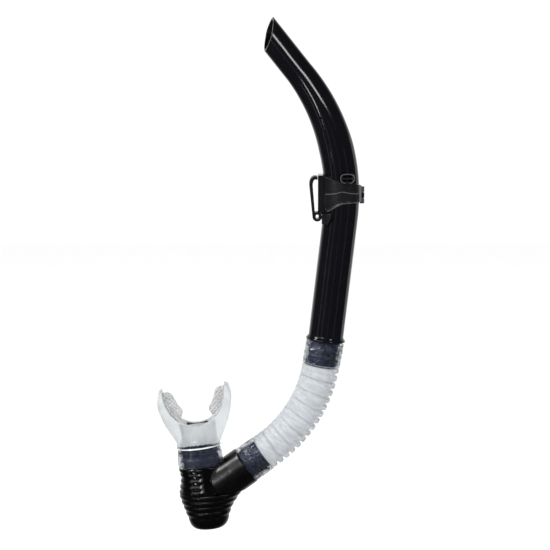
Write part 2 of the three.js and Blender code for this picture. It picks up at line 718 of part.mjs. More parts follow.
/** Thin band drawn tight round the mouthpiece's cuff. */
function mouthpieceBand() {
  const { halfWidth, halfDepth, bandBottom, bandTop, bandGrow } = MOUTH;
  const ringOf = (grow, from, to) =>
    ovalPost([from, to].map((z) => [z, halfWidth + grow, halfDepth + grow]));
  const body = ringOf(bandGrow, bandBottom, bandTop).subtract(ringOf(GAP, bandBottom - 1, bandTop + 1));
  return piece("mouthpiece_band", body, clearSilicone);
}

function chamberAssembly() {
  const chamber = frameAt(chamberPlace);
  chamber.add(chamberBody(), mouthpieceConnector(), mouthpiece(), mouthpieceBand());
  const purge = frameAt(capPlace);
  purge.add(purgeCap(), purgeSeat(), purgeSeal(), purgeValve());
  return [chamber, purge];
}

// ---------------------------------------------------------------- the whole snorkel
const snorkel = new THREE.Group();
snorkel.add(barrel());
snorkel.add(keeperClamp(), keeperRearBand(), keeperHingePin(), keeperGripTongue(), keeperGate());
snorkel.add(...connectors(), ...hoseAssembly());
snorkel.add(...chamberAssembly());

export default snorkel;
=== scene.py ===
"""The looks of a snorkel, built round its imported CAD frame.

Shapes are worked out in millimetres in the part's frame and become metres when a mesh is made.
A "lean" is an axis's tilt from vertical in the XZ plane, in degrees, positive towards -X going up.
"""

import json
import math
from types import SimpleNamespace as Sizes

import bpy
import numpy as np
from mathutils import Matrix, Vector


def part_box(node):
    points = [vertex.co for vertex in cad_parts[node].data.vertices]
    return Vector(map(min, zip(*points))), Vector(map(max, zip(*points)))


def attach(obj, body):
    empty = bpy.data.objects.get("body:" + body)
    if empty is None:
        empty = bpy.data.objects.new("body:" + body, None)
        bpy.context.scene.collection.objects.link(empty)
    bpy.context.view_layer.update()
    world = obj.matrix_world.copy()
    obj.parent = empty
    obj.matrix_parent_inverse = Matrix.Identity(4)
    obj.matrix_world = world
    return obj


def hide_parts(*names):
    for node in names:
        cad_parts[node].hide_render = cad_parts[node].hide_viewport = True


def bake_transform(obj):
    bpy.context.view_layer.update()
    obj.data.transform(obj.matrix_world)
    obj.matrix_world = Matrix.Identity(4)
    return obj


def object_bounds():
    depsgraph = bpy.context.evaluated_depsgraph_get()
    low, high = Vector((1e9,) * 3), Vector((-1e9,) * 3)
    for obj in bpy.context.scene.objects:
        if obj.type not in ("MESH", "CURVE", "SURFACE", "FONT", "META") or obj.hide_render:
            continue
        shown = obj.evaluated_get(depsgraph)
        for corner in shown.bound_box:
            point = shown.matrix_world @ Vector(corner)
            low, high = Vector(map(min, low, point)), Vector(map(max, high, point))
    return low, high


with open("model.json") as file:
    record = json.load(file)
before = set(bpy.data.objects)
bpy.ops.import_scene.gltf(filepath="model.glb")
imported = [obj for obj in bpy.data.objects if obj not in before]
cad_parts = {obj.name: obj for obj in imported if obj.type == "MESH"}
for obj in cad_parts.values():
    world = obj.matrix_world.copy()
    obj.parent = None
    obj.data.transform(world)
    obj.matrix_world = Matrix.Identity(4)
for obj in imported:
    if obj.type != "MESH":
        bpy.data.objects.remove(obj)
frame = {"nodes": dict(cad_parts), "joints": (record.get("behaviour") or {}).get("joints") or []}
cad_low, cad_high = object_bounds()

MM = 0.001  # metres
DEPTH = np.array([0.0, 1.0, 0.0])
JOINTS = {joint["name"]: joint for joint in frame["joints"]}

# ---- driving dimensions, in mm
BARREL = Sizes(
    radius=14.0, tip_radius=11.2, wall=1.6, lower_lean=-6.7, upper_lean=38.5,
    taper_from=14.0, lip_radius=15.8, cut_distance=38.5, cut_lean=-15.0, cut_turn=12.0,
    crease_from=9.0,  # lean where the section starts to come to a point
    crease=0.62,  # 0 is a round section, 1 is two arcs that meet in a sharp crease
)
KEEPER = Sizes(
    plate_width=16.0, plate_top=16.4, plate_bottom=-13.6, clearance=0.4, wall=1.6,
    band_top=7.6, band_bottom=-5.8, knuckle_radius=1.9, pin_radius=0.7, hook_reach=3.2,
    eye=(-0.5, -17.0), eye_radius=3.8, eye_hole=1.2, stub_width=10.0, gate_width=10.0,
    gate_thickness=2.8, gate_foot=2.0, gate_x=-6.9, crest=(-1.7, 15.6), gap=0.3,
    recess=0.45,  # depth of the panel between the crease line and the collar's lower edge
)
BUCKLE = Sizes(
    x=23.2, z=14.6, half_width=5.9, half_height=4.0, rise=1.2,
    slot_half_width=4.0, slot_half_height=0.8, slot_offset=1.55,
)
CUFF = Sizes(radius=15.2, bore=13.2, length=25.9, lean=-10.0, top_gap=1.2)
LOWER_CUFF = Sizes(radius=15.3, bore=13.2, length=22.0, top_gap=0.8)
BEADS = (0.26, 0.42)  # thin raised rings round each cuff, as shares of its length from its open end
CONNECTOR = Sizes(
    radius=12.3, bore=10.0, plug_radius=11.6, plug_length=9.0, neck_plug_length=10.0,
    tip_gap=6.2,
    barb=13.15,  # just short of the silicone around it
    barbs=((0.5, 0.17), (0.71, 0.07), (0.92, 0.18)),  # crest and grip, as shares of the free length
)
HOSE = Sizes(
    radius=15.0, bore=10.6, from_tilt=12.0, to_tilt=54.0,
    rib=3.3,  # thickness of one rib, the same all round
    chord=10.9,  # the grooves are cut flat to here on the outer side of the bend
    shallow=0.4,  # and are this deep everywhere else
)
CHAMBER = Sizes(lean=7.1, neck_length=41.5, neck_radius=15.9, inset=3.3, top=23.6)
CAP = Sizes(
    lean=4.1, top=2.0, base=-27.65, rib_pitch=4.75, rib_rise=0.9, wall=1.8,
    rib_fullness=0.75,  # 1 is a sine wave, less is fuller ribs and narrower grooves
    holes=8, hole_radius=1.7,
    # the x of its left and right sides and its half depth, at each groove from the top down
    left=(-20.0, -19.0, -17.7, -16.1, -14.8), right=(30.0, 26.3, 22.8, 19.9, 18.4),
    depth=(20.0, 19.0, 17.6, 16.2, 15.0),
)
MOUTH = Sizes(
    half_width=18.3, half_depth=14.4, wall=1.9, bottom=23.9, cuff_top=41.0,
    bore_width=14.4, bore_depth=9.6, tab_depth=5.4, waist_width=17.3, waist_depth=13.5,
    shift=1.5,  # how far the funnel and the flange stand towards the hose from the cuff
)
BAND = Sizes(low=39.5, high=40.7, grow=0.9, gap=0.1)

CAMERA = Sizes(elevation=8.0, distance=2.0, lens=163.6, target=Vector((-0.0341, 0.0, -0.0644)))
SIDES = 96


# ---- places
class Place:
    """A local frame in the XZ plane whose +Z runs along a lean."""

    def __init__(self, origin, lean):
        angle = math.radians(lean)
        self.origin = np.array(origin, float)
        self.lean = lean
        self.right = np.array([math.cos(angle), 0.0, math.sin(angle)])
        self.up = np.array([-math.sin(angle), 0.0, math.cos(angle)])

    def world(self, points):
        """Local points, in an array whose last axis is x, y, z, in the part's frame."""
        x, y, z = np.moveaxis(np.asarray(points, float), -1, 0)[..., None]
        return self.origin + x * self.right + y * DEPTH + z * self.up

    def local(self, points):
        """Points of the part's frame in this local frame."""
        offset = np.asarray(points, float) - self.origin
        return np.stack([offset @ self.right, offset @ DEPTH, offset @ self.up], -1)

    def along(self, distance):
        return Place(self.origin + distance * self.up, self.lean)

    def turned(self, lean):
        return Place(self.origin, lean)


def joint_at(name):
    """Where a joint is, in mm."""
    return np.array(JOINTS[name]["pos_m"]) / MM


PART = Place((0, 0, 0), 0)
LIP = Place(joint_at("hose_swivel"), BARREL.lower_lean)
BEND_CENTRE = joint_at("barrel_slide")
BEND_RADIUS = float((LIP.origin - BEND_CENTRE) @ LIP.right)
LOWER_LENGTH = float((BEND_CENTRE - LIP.origin) @ LIP.up)
UPPER_CUFF = Place(LIP.origin, CUFF.lean)
HOSE_START = UPPER_CUFF.along(-CUFF.length)
NECK_END = Place(joint_at("chamber_swivel"), -HOSE.to_tilt)
CHAMBER_PLACE = NECK_END.along(-CHAMBER.neck_length).turned(CHAMBER.lean)
CAP_PLACE = CHAMBER_PLACE.turned(CAP.lean)
HOSE_JOINTS = 8


def hose_arc():
    """Centre and radius of the hose's centre line, from its first and last joints."""
    first, last = joint_at("hose_bend_1"), joint_at(f"hose_bend_{HOSE_JOINTS}")
    half_turn = math.radians(HOSE.to_tilt - HOSE.from_tilt) / 2
    radius = np.linalg.norm(last - first) / (2 * math.sin(half_turn))
    tilt = math.radians(HOSE.from_tilt)
    return first - radius * np.array([math.cos(tilt), 0.0, -math.sin(tilt)]), radius


HOSE_CENTRE, HOSE_BEND = hose_arc()
HOSE_STEP = (HOSE.to_tilt - HOSE.from_tilt) / (HOSE_JOINTS - 1)


def on_bend(lean):
    """A place on the centre line of the barrel's bend."""
    angle = math.radians(lean)
    return Place(BEND_CENTRE + BEND_RADIUS * np.array([math.cos(angle), 0.0, math.sin(angle)]), lean)


# ---- mesh helpers
def smooth_step(value, low, high):
    t = np.clip((np.asarray(value, float) - low) / (high - low), 0, 1)
    return t * t * (3 - 2 * t)


def angles(sides=SIDES):
    return 2 * math.pi * np.arange(sides) / sides


def oval(place, half_width, half_depth, z=0.0, centre=0.0, sides=SIDES):
    """One oval loop across a place's axis."""
    turn = angles(sides)
    x = centre + half_width * np.cos(turn)
    return place.world(np.stack([x, half_depth * np.sin(turn), np.full(sides, z)], -1))


def linked(name, data):
    """A new object in the scene."""
    made = bpy.data.objects.new(name, data)
    bpy.context.scene.collection.objects.link(made)
    return made


def make(name, points, faces, *materials):
    """A smooth-shaded object from points in mm."""
    mesh = bpy.data.meshes.new(name)
    mesh.from_pydata((np.asarray(points) * MM).tolist(), [], faces)
    mesh.validate()
    mesh.polygons.foreach_set("use_smooth", [True] * len(mesh.polygons))
    for finish in materials:
        mesh.materials.append(finish)
    return linked(name, mesh)


def skin_faces(rows, sides, closed):
    """Quads between each loop and the next. closed joins the last loop to the first."""
    row = np.arange(rows if closed else rows - 1)[:, None]
    side = np.arange(sides)[None, :]
    above, beside = (row + 1) % rows, (side + 1) % sides
    corners = [row * sides + side, row * sides + beside, above * sides + beside, above * sides + side]
    return np.stack(np.broadcast_arrays(*corners), -1).reshape(-1, 4).tolist()


def tube(name, outside, inside, *materials):
    """A closed wall: loops going up outside and loops going down inside."""
    loops = np.array(list(outside) + list(inside))
    return make(name, loops.reshape(-1, 3), skin_faces(*loops.shape[:2], True), *materials)


def loft(name, loops, *materials):
    """A closed solid through loops, with a flat face over the first and the last."""
    loops = np.array(loops)
    rows, sides = loops.shape[:2]
    faces = skin_faces(rows, sides, False)
    faces.append(list(range(sides))[::-1])
    faces.append([(rows - 1) * sides + side for side in range(sides)])
    return make(name, loops.reshape(-1, 3), faces, *materials)


def ovals(place, rows, sides=SIDES):
    """Oval loops from rows of (height, half width, half depth), with a centre where it is off the axis."""
    return [oval(place, width, depth, z, *centre, sides=sides) for z, width, depth, *centre in rows]


def rounds(profile):
    """Rows of round ovals, from (height, radius)."""
    return [(z, radius, radius) for z, radius in profile]


def oval_post(name, place, rows, sides=SIDES):
    """An upright post through ovals."""
    return loft(name, ovals(place, rows, sides))


def round_bar(name, place, radius, low, high, sides=48):
    return oval_post(name, place, rounds([(low, radius), (high, radius)]), sides)


def cross_bar(name, place, x, z, radius, half, sides=48):
    """A round bar along Y through a local point."""
    turn = angles(sides)
    outline = np.stack([x + radius * np.cos(turn), z + radius * np.sin(turn)], -1)
    return slab(name, place, outline, -half, half)


def slab(name, place, outline, low_y, high_y):
    """An outline in local X and Z, extruded along Y."""
    outline = np.asarray(outline, float)
    ahead = np.roll(outline, -1, 0)
    if np.sum(outline[:, 0] * ahead[:, 1] - ahead[:, 0] * outline[:, 1]) < 0:
        outline = outline[::-1]
    levels = [np.stack([outline[:, 0], np.full(len(outline), y), outline[:, 1]], -1)
              for y in (high_y, low_y)]
    return loft(name, place.world(np.array(levels)))


def block(name, low, high, place=PART):
    (x0, y0, z0), (x1, y1, z1) = low, high
    return slab(name, place, [(x0, z0), (x1, z0), (x1, z1), (x0, z1)], y0, y1)


def baked(obj):
    """Applies the object's modifiers."""
    graph = bpy.context.evaluated_depsgraph_get()
    mesh = bpy.data.meshes.new_from_object(obj.evaluated_get(graph), depsgraph=graph)
    obj.modifiers.clear()
    obj.data = mesh
    return obj


def combined(base, operation, tools):
    """Joins tools to a solid, cuts them from it, or keeps what they share with it."""
    for tool in tools:
        step = base.modifiers.new(operation, "BOOLEAN")
        step.operation = operation
        step.solver = "MANIFOLD"
        step.object = tool
    baked(base)
    for tool in tools:
        bpy.data.objects.remove(tool)
    return base


def join(base, *tools):
    return combined(base, "UNION", tools)


def cut(base, *tools):
    return combined(base, "DIFFERENCE", tools)


def keep(base, *tools):
    return combined(base, "INTERSECT", tools)


def moulded(obj, voxel, rounds, *materials):
    """Rounds every edge as a mould does: an even mesh of voxel-sized faces, smoothed."""
    remesh = obj.modifiers.new("even", "REMESH")
    remesh.mode = "VOXEL"
    remesh.voxel_size = voxel * MM
    remesh.use_smooth_shade = True
    soften = obj.modifiers.new("soften", "SMOOTH")
    soften.factor = 0.5
    soften.iterations = rounds
    baked(obj)
    obj.data.materials.clear()
    for finish in materials:
        obj.data.materials.append(finish)
    return obj


def places_and_normals(elements, place):
    """The places, in mm, and the normals of a mesh's vertices or faces."""
    places, normals = np.zeros((2, len(elements) * 3))
    elements.foreach_get(place, places)
    elements.foreach_get("normal", normals)
    return places.reshape(-1, 3) / MM, normals.reshape(-1, 3)


def vertices_of(obj):
    return places_and_normals(obj.data.vertices, "co")


def faces_of(obj):
    return places_and_normals(obj.data.polygons, "center")


def move_vertices(obj, points):
    obj.data.vertices.foreach_set("co", (points * MM).ravel())
    obj.data.update()


def paint(obj, slots):
    """Gives each face the material slot of that number."""
    obj.data.polygons.foreach_set("material_index", np.asarray(slots).astype(np.int32))


def distance_to(points, line):
    """How far each 2D point is from a line through many corners."""
    line = np.asarray(line, float)
    start, step = line[:-1], np.diff(line, axis=0)
    offset = points[:, None, :] - start
    share = np.clip((offset * step).sum(-1) / (step**2).sum(-1), 0, 1)
    return np.linalg.norm(offset - share[..., None] * step, axis=-1).min(1)


def bezier(start, control, end, steps=12):
    """Points of a quadratic curve, its end left out."""
    t = np.linspace(0, 1, steps, endpoint=False)[:, None]
    start, control, end = (np.array(point, float) for point in (start, control, end))
    return (1 - t) ** 2 * start + 2 * t * (1 - t) * control + t**2 * end


def smooth_curve(points, steps=8):
    """A Catmull-Rom curve through points, both ends included."""
    points = np.asarray(points, float)
    padded = np.vstack([2 * points[0] - points[1], points, 2 * points[-1] - points[-2]])
    curve = []
    for p0, p1, p2, p3 in zip(padded, padded[1:], padded[2:], padded[3:]):
        for t in np.linspace(0, 1, steps, endpoint=False):
            curve.append(0.5 * (2 * p1 + (p2 - p0) * t + (2 * p0 - 5 * p1 + 4 * p2 - p3) * t**2
                                + (3 * p1 - p0 - 3 * p2 + p3) * t**3))
    return np.array(curve + [points[-1]])


# ---- materials
def set_inputs(node, values):
    """Sets a node's sockets from a dictionary whose keys have _ for a space."""
    for socket, value in values.items():
        node.inputs[socket.replace("_", " ")].default_value = value
    return node


def add(nodes, kind, **values):
    return set_inputs(nodes.new("ShaderNode" + kind), values)


def noise_value(nodes, links, scale, detail, low, high, stretch=1.0):
    """Noise in object space, spread over a range of values, and drawn out by a stretch along the ribs."""
    where = add(nodes, "TexCoord")
    mean_tilt = math.radians(HOSE.from_tilt + HOSE.to_tilt) / 2
    shape = add(nodes, "Mapping", Rotation=(0, mean_tilt, 0), Scale=(stretch, 1, 1))
    shape.vector_type = "TEXTURE"
    noise = add(nodes, "TexNoise", Scale=scale, Detail=detail)
    spread = add(nodes, "MapRange", From_Min=0.3, From_Max=0.7, To_Min=low, To_Max=high)
    links.new(where.outputs["Object"], shape.inputs["Vector"])
    links.new(shape.outputs["Vector"], noise.inputs["Vector"])
    links.new(noise.outputs["Fac"], spread.inputs["Value"])
    return spread.outputs["Result"]


def finish(name, colour, roughness, bumps, tint=0.12, mottle=(70, 1.0), **constants):
    """A moulded finish. roughness is (low, high); each bump is (features per metre, height in mm).

    The colour varies by the tint either way, over a mottle of (features per metre, stretch).
    """
    made = bpy.data.materials.new(name)
    made.use_nodes = True
    nodes, links = made.node_tree.nodes, made.node_tree.links
    shader = set_inputs(nodes["Principled BSDF"], constants)
    mix = add(nodes, "Mix")
    mix.data_type = "RGBA"
    mix.inputs["A"].default_value = [*(channel * (1 - tint) for channel in colour), 1]
    mix.inputs["B"].default_value = [*(min(channel * (1 + tint), 1) for channel in colour), 1]
    links.new(noise_value(nodes, links, mottle[0], 3, 0, 1, mottle[1]), mix.inputs["Factor"])
    links.new(mix.outputs["Result"], shader.inputs["Base Color"])
    links.new(noise_value(nodes, links, 140, 4, *roughness), shader.inputs["Roughness"])
    below = None
    for scale, height in bumps:
        bump = add(nodes, "Bump", Strength=1.0, Distance=height * MM)
        links.new(noise_value(nodes, links, scale, 2, 0, 1), bump.inputs["Height"])
        if below:
            links.new(below, bump.inputs["Normal"])
        below = bump.outputs["Normal"]
    links.new(below, shader.inputs["Normal"])
    return made


gloss_black = finish("gloss_black", (0.0035, 0.0032, 0.0045), (0.07, 0.13),
                     [(25, 0.16), (1500, 0.003)], IOR=1.5, Specular_IOR_Level=0.4)
chamber_black = finish("chamber_black", (0.0012, 0.0012, 0.0015), (0.25, 0.32),
                       [(60, 0.15), (1800, 0.006)], IOR=1.5, Specular_IOR_Level=0.5)
post_black = finish("post_black", (0.0012, 0.0012, 0.0015), (0.08, 0.14),
                    [(60, 0.15), (1800, 0.003)], IOR=1.5, Specular_IOR_Level=0.4)
satin_black = finish("satin_black", (0.006, 0.006, 0.0075), (0.26, 0.36),
                     [(90, 0.10), (2600, 0.012)], IOR=1.5, Specular_IOR_Level=0.45)
ribbed_black = finish("ribbed_black", (0.0008, 0.0008, 0.001), (0.24, 0.32),
                      [(80, 0.15), (2200, 0.008)], IOR=1.5, Specular_IOR_Level=0.5)
# painted light: the knuckle is the clamp's own black plastic, painted a lighter grey where light falls on it
knuckle_lit_grey = finish("knuckle_lit_grey", (0.05, 0.05, 0.054), (0.3, 0.4), [(300, 0.05)], IOR=1.5)
# painted highlights: light grey lines along the collar's crease, its lower edges and the buckle's rim
edge_highlight_grey = finish("edge_highlight_grey", (0.055, 0.055, 0.06), (0.3, 0.4), [(300, 0.05)], IOR=1.5)
navy_plastic = finish("navy_plastic", (0.022, 0.036, 0.12), (0.2, 0.32),
                      [(110, 0.2), (1600, 0.006)], tint=0.4, mottle=(160, 1.0), IOR=1.5)
clear_silicone = finish("clear_silicone", (0.88, 0.92, 0.95), (0.04, 0.1),
                        [(100, 0.35), (300, 0.2)], tint=0.03, IOR=1.41, Transmission_Weight=0.985)
milky_silicone = finish("milky_silicone", (0.80, 0.83, 0.86), (0.3, 0.42),
                        [(160, 0.06), (900, 0.01)], tint=0.16, mottle=(520, 9.0),
                        IOR=1.41, Transmission_Weight=0.6)
mouth_silicone = finish("mouth_silicone", (0.74, 0.77, 0.785), (0.16, 0.28),
                        [(80, 0.25), (700, 0.02)], tint=0.09, IOR=1.41, Transmission_Weight=0.66)
# painted shade: a darker colour for the hollows of the knurl
knurl_hollow_shade = finish("knurl_hollow_shade", (0.56, 0.51, 0.50), (0.3, 0.4), [(700, 0.02)],
                        tint=0.05, IOR=1.41, Transmission_Weight=0.3)
passage_shade = finish("passage_shade", (0.02, 0.025, 0.025), (0.3, 0.4), [(200, 0.05)], IOR=1.41)
band_silicone = finish("band_silicone", (0.88, 0.90, 0.93), (0.2, 0.3),
                       [(200, 0.05)], tint=0.02, IOR=1.41, Transmission_Weight=0.25)
valve_silicone = finish("valve_silicone", (0.62, 0.64, 0.66), (0.35, 0.5),
                        [(200, 0.05), (1500, 0.01)], IOR=1.41, Transmission_Weight=0.4)
steel = finish("steel", (0.62, 0.62, 0.64), (0.22, 0.36), [(2500, 0.004)], Metallic=1.0)


# ---- barrel
def barrel_section(lean, inset):
    """Local x and y all round the barrel where it has a lean: round, then pointed at both sides."""
    radius = float(np.interp(lean, [BARREL.taper_from, BARREL.upper_lean],
                             [BARREL.radius, BARREL.tip_radius])) - inset
    point = BARREL.crease * float(smooth_step(lean, BARREL.crease_from, BARREL.upper_lean))
    turn = angles()
    side, share = np.cos(turn), np.sin(turn)
    width = (1 - point) * np.abs(side) + point * (1 - share**2)
    return radius * np.sign(side) * width, radius * share


def barrel_loop(place, lean, inset, distance=0.0):
    """A loop of the barrel. distance may differ all round."""
    x, y = barrel_section(lean, inset)
    return place.world(np.stack([x, y, np.broadcast_to(distance, x.shape)], -1))


def mouth_distance(inset):
    """How far each side of the barrel runs past the bend, to the slanted plane of the mouth."""
    x, y = barrel_section(BARREL.upper_lean, inset)
    slant = math.radians(BARREL.upper_lean - BARREL.cut_lean)
    turn = math.radians(BARREL.cut_turn)
    return BARREL.cut_distance + x / math.tan(slant) + y * math.tan(turn) / math.sin(slant)


def barrel_side(inset):
    """Loops from just above the lip to just below the mouth, at a depth inside the wall."""
    lower, upper = BARREL.lower_lean, BARREL.upper_lean
    loops = [barrel_loop(LIP, lower, inset, height) for height in np.linspace(5, LOWER_LENGTH - 2, 12)]
    loops += [barrel_loop(on_bend(lean), lean, inset) for lean in np.linspace(lower, upper, 60)]
    top = on_bend(upper)
    reach = mouth_distance(inset) - 0.9
    return loops + [barrel_loop(top, upper, inset, share * reach) for share in np.linspace(0.08, 1, 14)]


def build_barrel():
    lower, upper, wall = BARREL.lower_lean, BARREL.upper_lean, BARREL.wall
    flare = BARREL.lip_radius - BARREL.radius
    lip_profile = [(wall * 0.8, 0.0), (0.3 - flare, 0.0), (-flare, 0.35), (-flare, 1.0), (-flare * 0.8, 1.5),
                   (-flare * 0.4, 2.3), (-flare * 0.1, 3.2), (0.0, 4.2)]
    outside = [barrel_loop(LIP, lower, inset, height) for inset, height in lip_profile]
    outside += barrel_side(0.0)
    rim = [(0.0, 0.35), (0.18, 0.1), (0.5, 0.0), (wall - 0.5, 0.0), (wall - 0.18, 0.1), (wall, 0.35)]
    outside += [barrel_loop(on_bend(upper), upper, inset, mouth_distance(inset) - drop)
                for inset, drop in rim]
    inside = barrel_side(wall)[::-1]
    inside += [barrel_loop(LIP, lower, wall, height) for height in (2.0, 0.4)]
    return tube("barrel_shell", outside, inside, gloss_black)


# ---- keeper
COLLAR_INSIDE = BARREL.radius + KEEPER.clearance
COLLAR_OUTSIDE = COLLAR_INSIDE + KEEPER.wall
KNUCKLE_CUTS = (KEEPER.band_bottom - 0.9, -2.4, 2.4, KEEPER.band_top - 0.7)


def bend_sleeve(name, radius, low=-8.0, high=8.0):
    """A round bar that follows the barrel's bend."""
    return loft(name, [oval(on_bend(lean), radius, radius) for lean in np.linspace(low, high, 24)])


KNUCKLE = Place(joint_at("keeper_band_hinge"), 0)
CREASE = smooth_curve(((5.5, 1.4), (14, 2.6), (19, 3.9), (26, 2.6), (36, 1.6)))


def knuckle(radius, low, high):
    return round_bar("knuckle", KNUCKLE, radius, low, high)


def collar_room():
    """What the collar leaves free round the barrel."""
    return bend_sleeve("room", COLLAR_INSIDE, -9, 9)


def panel(name, edge, low_y, high_y, depth=KEEPER.recess):
    """The collar's outer skin over a stretch between the crease line and a lower edge."""
    skin = cut(bend_sleeve(name, COLLAR_OUTSIDE + 1), bend_sleeve("core", COLLAR_OUTSIDE - depth, -9, 9))
    return keep(skin, slab("side", PART, np.vstack([CREASE - (0, 0.5), edge]), low_y, high_y))


def stadium(x, z, half_width, half_height, steps=16):
    """A flat-sided oval outline in X and Z."""
    straight = half_width - half_height
    turn = np.linspace(-math.pi / 2, math.pi / 2, steps)
    right = np.stack([x + straight + half_height * np.cos(turn), z + half_height * np.sin(turn)], -1)
    left = np.stack([x - straight - half_height * np.cos(turn), z - half_height * np.sin(turn)], -1)
    return np.vstack([right, left])


def buckle():
    """The oval buckle on the collar, with a raised rim and two slots through it."""
    x, z, rise = BUCKLE.x, BUCKLE.z, BUCKLE.rise
    width, height = BUCKLE.half_width, BUCKLE.half_height
    front, back = -COLLAR_OUTSIDE - rise, -KEEPER.plate_width / 2
    body = slab("buckle", PART, stadium(x, z, width, height), front, back)
    cut(body, slab("dish", PART, stadium(x, z, width - 0.9, height - 0.9), front - 1, front + 0.5))
    slots = [slab("slot", PART, stadium(x, z + side * BUCKLE.slot_offset, BUCKLE.slot_half_width,
                                       BUCKLE.slot_half_height), front - 1, 0) for side in (-1, 1)]
    return cut(body, *slots)


def keeper_clamp():
    top, bottom = KEEPER.plate_top, KEEPER.plate_bottom
    band_top, band_bottom = KEEPER.band_top, KEEPER.band_bottom
    knuckle_x, gap = KNUCKLE.origin[0], KEEPER.gap
    half, stub = KEEPER.plate_width / 2, KEEPER.stub_width / 2
    outline = [(0, bottom), (7.8, bottom + 1.2), (15.2, -7.8), (19.5, band_bottom),
               (knuckle_x, band_bottom + 0.8), (knuckle_x, band_top), (29.5, band_top + 2.6),
               (17.6, 11.6), (6, top - 1), (0, top)]
    lower_edge = [(knuckle_x, band_bottom + 2.2), (19.5, band_bottom + 1.4), (15.6, -6.2),
                  (8.2, bottom + 3), (5.5, bottom + 2.8)]
    wrap = keep(bend_sleeve("clamp", COLLAR_OUTSIDE),
                slab("cutter", PART, outline, -COLLAR_OUTSIDE - 1, -gap / 2))
    eye_x, eye_z = KEEPER.eye
    low, mid_low, mid_high, high = KNUCKLE_CUTS
    join(wrap,
         block("plate", (0, -half, bottom), (8, half, top)),
         block("stub", (1.2, -stub, eye_z - 1.5), (5.2, stub, bottom + 1)),
         knuckle(KEEPER.knuckle_radius, low, mid_low - gap / 2),
         knuckle(KEEPER.knuckle_radius, mid_high + gap / 2, high))
    cut(wrap, panel("panel", lower_edge, -20, -half - 0.4))
    join(wrap, buckle())
    cut(wrap,
        collar_room(),
        knuckle(KEEPER.knuckle_radius + gap, mid_low - gap / 2, mid_high + gap / 2),
        knuckle(KEEPER.pin_radius + gap, -20, 20),
        cross_bar("eye_room", PART, eye_x, eye_z, KEEPER.eye_radius + gap, half + 1))
    moulded(wrap, 0.24, 4, satin_black, gloss_black, knuckle_lit_grey, edge_highlight_grey)
    centres, _ = faces_of(wrap)
    x, y, _ = centres.T
    flat = centres[:, [0, 2]]
    rim = stadium(BUCKLE.x, BUCKLE.z, BUCKLE.half_width - 0.45, BUCKLE.half_height - 0.45)
    front = y < -half - 0.5
    crease_half, edge_width, rim_half = 0.4, 0.75, 0.3  # widths of the painted highlight lines along the crease, the lower edges and the buckle's rim
    # painted highlights: front faces along the crease, the lower edges and the buckle's rim
    lines = front * (distance_to(flat, CREASE) < crease_half)
    lines = lines + front * (distance_to(flat, outline[1:5]) < edge_width)
    lines = lines + (y < -COLLAR_OUTSIDE - BUCKLE.rise / 2) * (distance_to(flat, rim) < rim_half)
    # painted light: faces past the knuckle's edge get the lit grey (slot 2), the highlight lines get slot 3
    plate_edge, knuckle_edge = 5.4, knuckle_x - 2.6
    paint(wrap, np.select([x > knuckle_edge, lines, x < plate_edge], [2, 3, 1], 0))
    return wrap


def keeper_rear_band():
    band_top, band_bottom = KEEPER.band_top, KEEPER.band_bottom
    knuckle_x, gap = KNUCKLE.origin[0], KEEPER.gap
    half = KEEPER.plate_width / 2
    outline = [(0, band_bottom - 2), (knuckle_x, band_bottom + 0.8), (knuckle_x, band_top),
               (0, band_top + 2)]
    wrap = keep(bend_sleeve("rear_band", COLLAR_OUTSIDE),
                slab("cutter", PART, outline, gap / 2, COLLAR_OUTSIDE + 1))
    low, mid_low, mid_high, high = KNUCKLE_CUTS
    cut(wrap, panel("panel", [(knuckle_x, band_bottom + 2.2), (5.5, band_bottom + 0.6)], half + 4, 20))
    join(wrap, block("hook", (4, half + gap, band_bottom), (10, half + KEEPER.hook_reach, band_top)))
    cut(wrap,
        collar_room(),
        block("plate_room", (-1, -1, -30), (8 + gap, half + gap, 30)),
        knuckle(KEEPER.knuckle_radius + gap, low - 1, mid_low + gap / 2),
        knuckle(KEEPER.knuckle_radius + gap, mid_high - gap / 2, high + 1))
    middle = cut(knuckle(KEEPER.knuckle_radius, mid_low + gap / 2, mid_high - gap / 2),
                 collar_room())
    join(wrap, middle)
    cut(wrap, knuckle(KEEPER.pin_radius + gap, -20, 20))
    return moulded(wrap, 0.26, 5, satin_black)


def keeper_gate():
    eye_x, eye_z = KEEPER.eye
    reach, thick, gap = KEEPER.eye_radius, KEEPER.gate_thickness, KEEPER.gap
    (crest_x, crest_z), outer = KEEPER.crest, KEEPER.gate_x
    inner, tip = outer + thick, crest_z - 0.4
    outline = [(eye_x - reach, eye_z)]
    outline += bezier((outer, crest_z - 7.2), (outer, crest_z - 0.2), (crest_x, crest_z)).tolist()
    outline += [(crest_x, crest_z), (-gap, tip), (-gap, tip - thick)]
    outline += bezier((crest_x, crest_z - thick), (inner, crest_z - thick), (inner, crest_z - 8)).tolist()
    outline += [(inner, crest_z - 8), (eye_x - reach + KEEPER.gate_foot, eye_z + 2.4)]
    half = KEEPER.gate_width / 2
    bar = slab("gate", PART, outline, -half, half)
    join(bar, cross_bar("eye", PART, eye_x, eye_z, reach, half))
    cut(bar, slab("hole", PART, stadium(0, 0, KEEPER.eye_hole + 0.6, KEEPER.eye_hole)[:, ::-1]
                  + (eye_x, eye_z), -half - 1, half + 1))
    return moulded(bar, 0.22, 4, satin_black)


def keeper_tongue():
    """The soft tongue below the collar, which narrows downwards."""
    low, high = (np.array(corner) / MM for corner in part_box("keeper_grip_tongue"))
    sleeve = cut(bend_sleeve("tongue", BARREL.radius + 2, -10, 0),
                 bend_sleeve("room", BARREL.radius + KEEPER.gap, -12, 4))
    outline = [(low[0], low[2]), (low[0] + 4.6, low[2]), (high[0], high[2] - 3), (high[0], high[2]),
               (low[0], high[2])]
    return moulded(keep(sleeve, slab("area", PART, outline, low[1], high[1])), 0.2, 4, satin_black)


